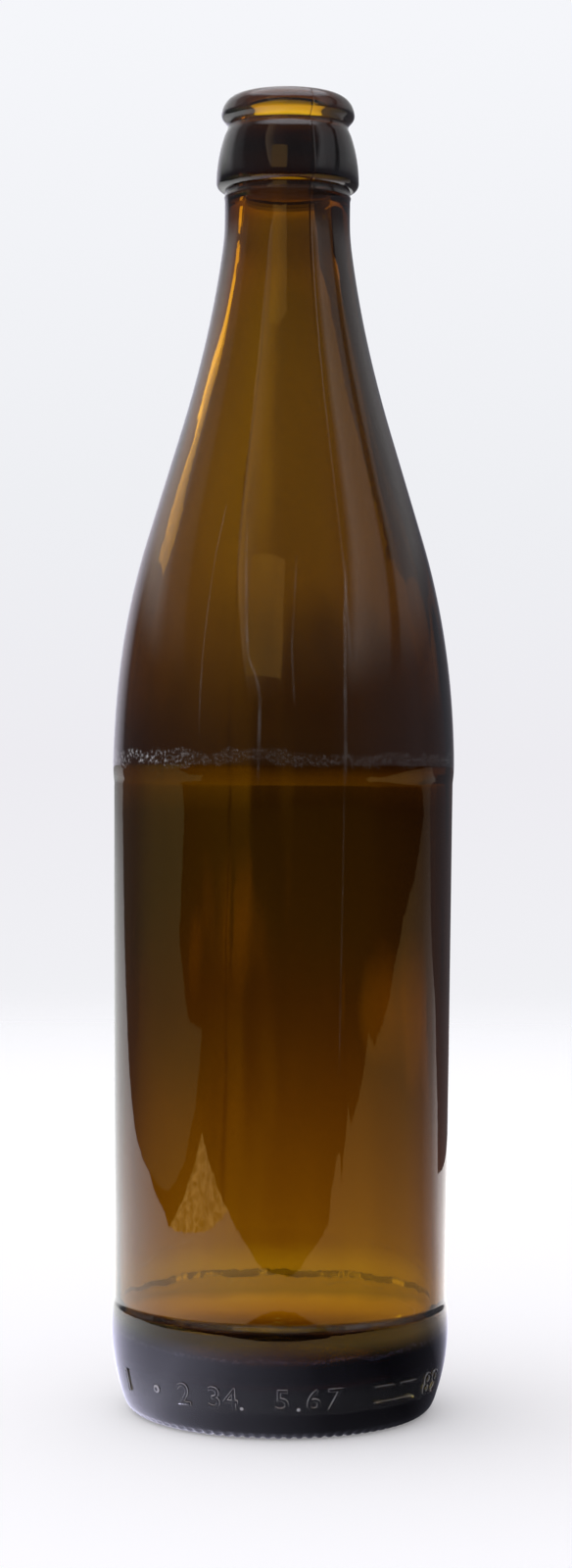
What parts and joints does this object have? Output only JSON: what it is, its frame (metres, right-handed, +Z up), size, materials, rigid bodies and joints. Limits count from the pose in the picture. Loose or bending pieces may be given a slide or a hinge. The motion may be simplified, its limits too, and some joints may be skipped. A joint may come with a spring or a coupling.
{
  "type": "beer bottle",
  "caption": "Tall round amber glass bottle with a long sloping shoulder, slim neck and crown-cap finish, for storing and pouring beer.",
  "frame": {"origin": "centre of the flat ring that the bottle stands on", "axes": "+Z up the bottle's axis from the foot to the mouth; +X and +Y are level, and the bottle is round about Z"},
  "size_m": [0.0676, 0.0676, 0.26],
  "materials": {
    "amber_glass": "glossy moulded soda-lime glass, clear amber brown, with dull scuffed bands at the shoulder and heel"
  },
  "bodies": {
    "root": {"bottle": "amber_glass"}
  },
  "joints": []
}
